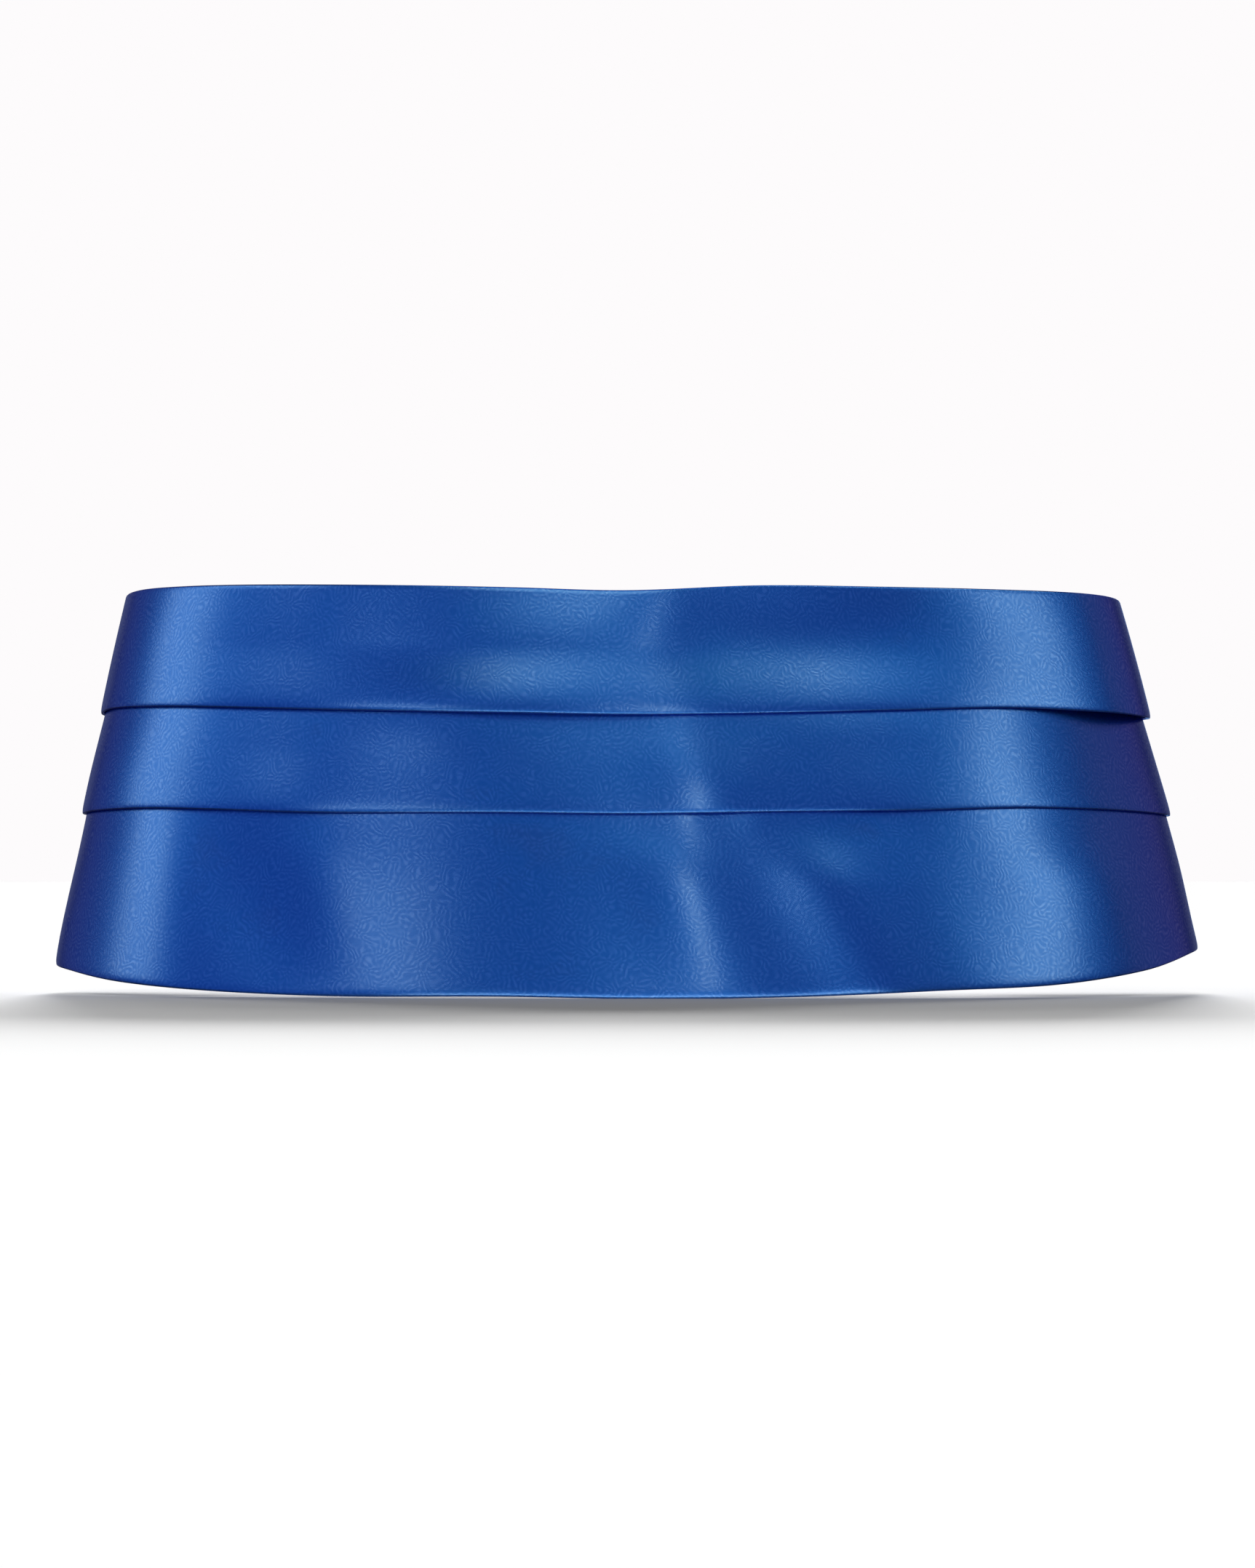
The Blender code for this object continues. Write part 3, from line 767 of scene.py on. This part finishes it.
elastic = elastic_material()
straps = {}
for name, side in (("left", -1), ("right", 1)):
    section = flat_section(STRAP_WIDTH, STRAP_WALL, 0.45 * STRAP_WALL)
    straps[name] = swept("elastic_" + name, *strap_line(side), section, elastic)
    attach(straps[name], "root")
    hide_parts("strap_" + name)


def strap_stitches(distances, out, way):
    """Rows of stitches across a strap at some distances along it."""
    ups = np.arange(-STRAP_WIDTH / 2 + 1.2 * MM, STRAP_WIDTH / 2 - STITCH - 0.6 * MM,
                    STITCH + STITCH_GAP)
    distance, up = (part.ravel() for part in np.meshgrid(distances, ups))
    point, _, upward, outward = strap_axes(distance)
    starts = point + upward * up[:, None] + outward * out
    return starts, starts + upward * STITCH, outward * way


loop_end = HOOK_BAR + SEWN_BACK
rows = [strap_stitches(loop_end - LOOP_SEAMS, STRAP_WALL / 2, 1),
        strap_stitches(loop_end - LOOP_SEAMS, -LAYER - STRAP_WALL / 2, -1)]
for side in (-1, 1):
    lap = strap_path(side)[0][0]
    rows.append(strap_stitches(lap + side * LOOP_SEAMS, -STRAP_WALL / 2, -1))
straps["seams"] = stitches("strap_stitches", *(np.concatenate(part) for part in zip(*rows)), thread)

# ---------------------------------------------------------------------------------------------
# Slide and hook: stamped from 1.5 mm steel sheet, tumbled smooth and nickel-plated. The strap
# holds them, and the hook's free bar takes the left strap's loop.
# ---------------------------------------------------------------------------------------------

FRAME_TALL = 31 * MM
SLOT_TALL = 26 * MM
CORNER = 2 * MM
SOFT_EDGE = 0.35 * MM


def rounded(width, height, corner, centre=0.0):
    """Corner points of a rectangle whose corners are quarter circles, anticlockwise."""
    points = []
    for quarter, (sx, sy) in enumerate(((1, 1), (-1, 1), (-1, -1), (1, -1))):
        for a in np.radians(np.linspace(0, 90, 7) + 90 * quarter):
            points.append((centre + sx * (width / 2 - corner) + corner * math.cos(a),
                           sy * (height / 2 - corner) + corner * math.sin(a)))
    return points


def fitting(name, outlines, distance, out, material):
    """A flat fitting cut from outlines, the first of them its outer edge, with soft edges. It is
    made flat, made a mesh and laid on the strap: x along it, y up it, z out of it."""
    curve = bpy.data.curves.new(name, "CURVE")
    curve.dimensions = "2D"
    curve.fill_mode = "BOTH"
    curve.extrude = METAL / 2 - SOFT_EDGE
    curve.bevel_depth = SOFT_EDGE
    curve.bevel_resolution = 3
    curve.offset = -SOFT_EDGE
    for outline in outlines:
        spline = curve.splines.new("POLY")
        spline.points.add(len(outline) - 1)
        for point, (x, y) in zip(spline.points, outline):
            point.co = (x, y, 0, 1)
        spline.use_cyclic_u = True
    flat = make_object(name + "_flat", curve)
    depsgraph = bpy.context.evaluated_depsgraph_get()
    mesh = bpy.data.meshes.new_from_object(flat.evaluated_get(depsgraph))
    bpy.data.objects.remove(flat)
    mesh.name = name
    axes = [Vector(part) for part in strap_axes(distance)]
    place = Matrix((axes[1], axes[2], axes[3])).transposed().to_4x4()
    place.translation = axes[0] + axes[3] * out
    mesh.transform(place)
    mesh.materials.clear()
    mesh.materials.append(material)
    return make_object(name, mesh)


def nickel_material():
    """Nickel plate on tumbled steel: bright and faintly warm, with fine marks and a slightly
    uneven gloss."""
    material, tree = new_material("nickel_plate")
    place = add(tree, "ShaderNodeTexCoord").outputs["Object"]
    cloud = add(tree, "ShaderNodeTexNoise", Vector=place, Scale=1 / (4 * MM),
                Detail=3.0).outputs["Fac"]
    gloss = add(tree, "ShaderNodeMapRange", Value=cloud, From_Min=0.3, From_Max=0.7, To_Min=0.16,
                To_Max=0.3).outputs[0]
    marks = add(tree, "ShaderNodeTexNoise", Vector=place, Scale=1 / (0.5 * MM),
                Detail=2.0).outputs["Fac"]
    bump = add(tree, "ShaderNodeBump", Strength=0.3, Distance=0.01 * MM, Height=marks).outputs[0]
    shader = add(tree, "ShaderNodeBsdfPrincipled", Base_Color=linear("#C9C5BC"), Metallic=1.0,
                 Roughness=gloss, Normal=bump)
    add(tree, "ShaderNodeOutputMaterial", Surface=shader.outputs["BSDF"])
    return material


def slide_outlines():
    """The slide: a frame with a middle bar, so two slots."""
    slots = [rounded(SLOT, SLOT_TALL, CORNER / 4, way * (SLOT + BAR) / 2) for way in (-1, 1)]
    return [rounded(2 * SLOT + 3 * BAR, FRAME_TALL, CORNER)] + slots


def hook_outlines():
    """The hook: a closed slot for the right strap, and one open at the bottom for the loop."""
    half = HOOK_BAR + BAR / 2
    low = -FRAME_TALL / 2
    outer = rounded(2 * half, FRAME_TALL, CORNER)
    lower_right = 3 * len(outer) // 4
    mouth = [(HOOK_PLATE / 2, low), (HOOK_PLATE / 2, SLOT_TALL / 2),
             (HOOK_PLATE / 2 + SLOT, SLOT_TALL / 2), (HOOK_PLATE / 2 + SLOT, low)]
    return [outer[:lower_right] + mouth + outer[lower_right:],
            rounded(SLOT, SLOT_TALL, CORNER / 4, -(HOOK_PLATE + SLOT) / 2)]


nickel = nickel_material()
slide = fitting("slide", slide_outlines(), SLIDE_DISTANCE, SLIDE_OUT, nickel)
hook = fitting("hook", hook_outlines(), 0.0, HOOK_OUT, nickel)
for piece, node in ((slide, "strap_slide"), (hook, "strap_hook")):
    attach(piece, "root")
    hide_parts(node)

# ---------------------------------------------------------------------------------------------
# Studio: a pale floor, soft boxes round the garment and a camera in front of it at waist height.
# The boxes light the garment alone, and wide low suns behind it light the floor alone.
# ---------------------------------------------------------------------------------------------

CAMERA_DISTANCE = 2.2
FRONT = -0.126               # the garment's front, where the frame has its height
EYE_LEVEL = -0.032
FRAME_CENTRE = (-0.0006, -0.0049)
FRAME_HEIGHT = 0.475

camera = make_object("camera", bpy.data.cameras.new("camera"))
eye = Vector((FRAME_CENTRE[0], FRONT - CAMERA_DISTANCE, EYE_LEVEL))
aim = Vector((FRAME_CENTRE[0], FRONT, FRAME_CENTRE[1]))
camera.location = eye
camera.rotation_euler = (aim - eye).to_track_quat("-Z", "Y").to_euler()
camera.data.lens = camera.data.sensor_width * CAMERA_DISTANCE / FRAME_HEIGHT
bpy.context.scene.camera = camera

FLOOR = -0.0699              # the level of the hem's lowest point
REACH = 30.0
corners = [(x * REACH, y * REACH, FLOOR) for x, y in ((-1, -1), (1, -1), (1, 1), (-1, 1))]
floor_mesh = bpy.data.meshes.new("floor")
floor_mesh.from_pydata(corners, [], [(0, 1, 2, 3)])
floor = make_object("floor", floor_mesh)
floor.visible_diffuse = False
floor.visible_glossy = False
paint, tree = new_material("pale_floor")
shader = add(tree, "ShaderNodeBsdfDiffuse", Color=linear("#F4F4F4"))
add(tree, "ShaderNodeOutputMaterial", Surface=shader.outputs["BSDF"])
floor_mesh.materials.append(paint)

garment_only = bpy.data.collections.new("garment_light")
for piece in (upper, middle, lower, top_stitches, hem_stitches, *tabs.values(), *straps.values(),
              slide, hook):
    garment_only.objects.link(piece)
floor_only = bpy.data.collections.new("floor_light")
floor_only.objects.link(floor)


def towards(azimuth, elevation):
    """The direction from the origin at an azimuth from the front and an elevation, in degrees."""
    a, e = math.radians(azimuth), math.radians(elevation)
    return Vector((math.sin(a) * math.cos(e), -math.cos(a) * math.cos(e), math.sin(e)))


def softbox(name, azimuth, elevation, distance, size, radiance, colour):
    """An area light aimed at the origin that lights the garment alone. Its power is its radiance
    times pi times its area."""
    data = bpy.data.lights.new(name, "AREA")
    data.shape = "RECTANGLE"
    data.size, data.size_y = size
    data.energy = radiance * math.pi * size[0] * size[1]
    data.color = linear(colour)[:3]
    lamp = make_object(name, data)
    lamp.location = towards(azimuth, elevation) * distance
    lamp.rotation_euler = (-towards(azimuth, elevation)).to_track_quat("-Z", "Y").to_euler()
    lamp.visible_camera = False
    lamp.light_linking.receiver_collection = garment_only
    return lamp


LAMP = "#E8FBC8"


softbox("left_box", -97, 14, 1.6, (0.54, 0.6), 1.35, LAMP)
softbox("left_soft_box", -77, 30, 2.0, (1.1, 0.4), 1.5, LAMP)
softbox("front_left_box", -39, 11, 1.8, (0.58, 0.32), 1.45, LAMP)
softbox("upper_box", -7, 43, 2.0, (1.0, 0.56), 2.15, LAMP)
softbox("centre_box", 7, 14.5, 2.0, (0.18, 0.62), 3.5, LAMP)
softbox("right_box", 69, 15, 1.6, (0.33, 0.6), 2.15, LAMP)
softbox("top_right_box", 60, 44, 1.8, (1.4, 0.38), 2.9, LAMP)
softbox("front_fill", 12, 14, 2.6, (3.8, 2.6), 0.21, "#3CA0FF")
softbox("left_fill", -66, 14, 2.6, (4.0, 2.6), 0.27, "#3CA0FF")
softbox("right_fill", 72, 14, 2.6, (2.0, 2.6), 0.2, "#50B4FF")
softbox("right_side_fill", 120, 14, 2.6, (2.0, 2.6), 0.17, "#F0D0FF")
softbox("left_side_fill", -124, 14, 2.6, (2.0, 2.6), 0.2, "#A0C8FF")
softbox("back_fill", 180, 20, 2.6, (3.0, 2.6), 0.2, "#E0E8FF")
softbox("top_box", 0, 85, 1.8, (1.6, 1.2), 0.8, "#7CDCFF")
softbox("rim_box", 172, 10, 1.8, (0.5, 1.2), 1.3, "#80C0FF")
# These two are below the floor and stand for the light it throws back, so it doesn't block them.
low_box = softbox("low_box", 0, -13, 1.8, (2.4, 0.3), 3.2, "#E8FBD4")
low_box.light_linking.blocker_collection = garment_only
floor_bounce = softbox("floor_bounce", 0, -75, 1.6, (3.0, 3.0), 0.14, "#D8E8FF")
floor_bounce.light_linking.blocker_collection = garment_only


def floor_sun(name, azimuth, elevation, spread, energy):
    """A wide sun that lights the floor alone, so that the garment's shadow there is soft."""
    data = bpy.data.lights.new(name, "SUN")
    data.energy = energy
    data.angle = math.radians(spread)
    lamp = make_object(name, data)
    lamp.rotation_euler = (-towards(azimuth, elevation)).to_track_quat("-Z", "Y").to_euler()
    lamp.light_linking.receiver_collection = floor_only


floor_sun("low_sun", 179, 14.5, 11, 6.7)
floor_sun("low_left_sun", -155, 15, 12, 1.5)
floor_sun("low_right_sun", 154, 15, 12, 1.6)
floor_sun("back_sun", -176, 24, 18, 1.0)
floor_sun("top_sun", -60, 75, 60, 0.46)

world = bpy.data.worlds.new("studio")
bpy.context.scene.world = world
world.use_nodes = True
tree = world.node_tree
tree.nodes.clear()
ray = add(tree, "ShaderNodeLightPath").outputs["Is Camera Ray"]
dim = add(tree, "ShaderNodeBackground", Color=linear("#FFFFFF"), Strength=0.06).outputs[0]
bright = add(tree, "ShaderNodeBackground", Color=linear("#FDFBFC"), Strength=1.0).outputs[0]
mix = add(tree, "ShaderNodeMixShader", i0=ray, i1=dim, i2=bright).outputs[0]
add(tree, "ShaderNodeOutputWorld", Surface=mix)
bpy.context.scene.view_settings.view_transform = "Standard"
